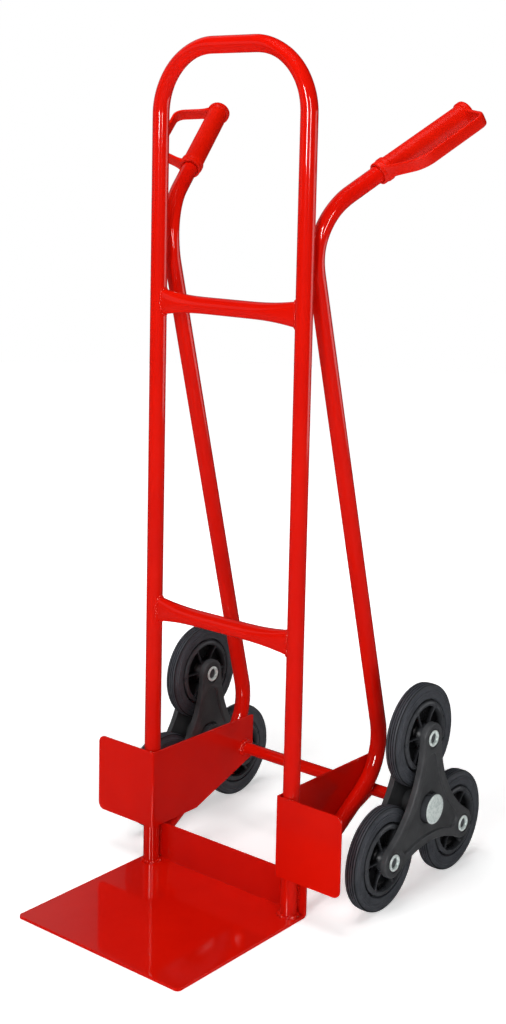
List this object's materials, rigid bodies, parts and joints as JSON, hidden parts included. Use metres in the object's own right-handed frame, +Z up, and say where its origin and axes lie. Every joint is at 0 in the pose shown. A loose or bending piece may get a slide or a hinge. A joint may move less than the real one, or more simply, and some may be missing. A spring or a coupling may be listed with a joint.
{
  "type": "stair-climbing hand truck",
  "caption": "Upright tube-frame hand truck with a flat toe plate, swept-back grips with knuckle guards, and star-shaped clusters of wheels that turn over to climb steps.",
  "frame": {"origin": "on the ground, at the middle of the outline's bottom", "axes": "+X along the width, to the user's right when looking from the toe plate's side; -Y towards the toe plate; +Y towards the wheels and handles; +Z up"},
  "size_m": [0.5774, 0.6442, 1.267],
  "materials": {
    "red_powder_coat": "gloss",
    "red_plastic": "satin gloss",
    "black_rubber": "matte, fine tread grooves",
    "black_nylon": "moulded, low sheen",
    "black_polymer": "moulded, low sheen",
    "zinc_plated_steel": "zinc plated, mottled"
  },
  "bodies": {
    "frame": {"frame_loop": "red_powder_coat", "upper_crossbar": "red_powder_coat", "lower_crossbar": "red_powder_coat", "toe_plate": "red_powder_coat", "side_plate_left": "red_powder_coat", "handle_tube_left": "red_powder_coat", "grip_left": "red_plastic", "side_plate_right": "red_powder_coat", "handle_tube_right": "red_powder_coat", "grip_right": "red_plastic", "axle_tube": "red_powder_coat", "axle_shaft": "zinc_plated_steel", "washer_outer_left": "zinc_plated_steel", "washer_inner_left": "zinc_plated_steel", "axle_cap_left": "zinc_plated_steel", "washer_outer_right": "zinc_plated_steel", "washer_inner_right": "zinc_plated_steel", "axle_cap_right": "zinc_plated_steel"},
    "cluster_left": {"spider_outer_left": "black_nylon", "spider_inner_left": "black_nylon", "hub_sleeve_left": "black_nylon", "wheel_pin_left_1": "zinc_plated_steel", "wheel_pin_left_2": "zinc_plated_steel", "wheel_pin_left_3": "zinc_plated_steel"},
    "wheel_left_1": {"tyre_left_1": "black_rubber", "rim_left_1": "black_polymer"},
    "wheel_left_2": {"tyre_left_2": "black_rubber", "rim_left_2": "black_polymer"},
    "wheel_left_3": {"tyre_left_3": "black_rubber", "rim_left_3": "black_polymer"},
    "cluster_right": {"spider_outer_right": "black_nylon", "spider_inner_right": "black_nylon", "hub_sleeve_right": "black_nylon", "wheel_pin_right_1": "zinc_plated_steel", "wheel_pin_right_2": "zinc_plated_steel", "wheel_pin_right_3": "zinc_plated_steel"},
    "wheel_right_1": {"tyre_right_1": "black_rubber", "rim_right_1": "black_polymer"},
    "wheel_right_2": {"tyre_right_2": "black_rubber", "rim_right_2": "black_polymer"},
    "wheel_right_3": {"tyre_right_3": "black_rubber", "rim_right_3": "black_polymer"}
  },
  "joints": [
    {"name": "cluster_left_turn", "type": "hinge", "parent": "frame", "child": "cluster_left", "pos_m": [-0.2175, 0.14888, 0.1332], "axis": [1, 0, 0], "continuous": true},
    {"name": "wheel_left_1_spin", "type": "hinge", "parent": "cluster_left", "child": "wheel_left_1", "pos_m": [-0.2175, 0.14888, 0.2426], "axis": [1, 0, 0], "continuous": true},
    {"name": "wheel_left_2_spin", "type": "hinge", "parent": "cluster_left", "child": "wheel_left_2", "pos_m": [-0.2175, 0.05414, 0.0785], "axis": [1, 0, 0], "continuous": true},
    {"name": "wheel_left_3_spin", "type": "hinge", "parent": "cluster_left", "child": "wheel_left_3", "pos_m": [-0.2175, 0.24362, 0.0785], "axis": [1, 0, 0], "continuous": true},
    {"name": "cluster_right_turn", "type": "hinge", "parent": "frame", "child": "cluster_right", "pos_m": [0.2175, 0.14888, 0.1332], "axis": [1, 0, 0], "continuous": true},
    {"name": "wheel_right_1_spin", "type": "hinge", "parent": "cluster_right", "child": "wheel_right_1", "pos_m": [0.2175, 0.14888, 0.2426], "axis": [1, 0, 0], "continuous": true},
    {"name": "wheel_right_2_spin", "type": "hinge", "parent": "cluster_right", "child": "wheel_right_2", "pos_m": [0.2175, 0.05414, 0.0785], "axis": [1, 0, 0], "continuous": true},
    {"name": "wheel_right_3_spin", "type": "hinge", "parent": "cluster_right", "child": "wheel_right_3", "pos_m": [0.2175, 0.24362, 0.0785], "axis": [1, 0, 0], "continuous": true}
  ]
}
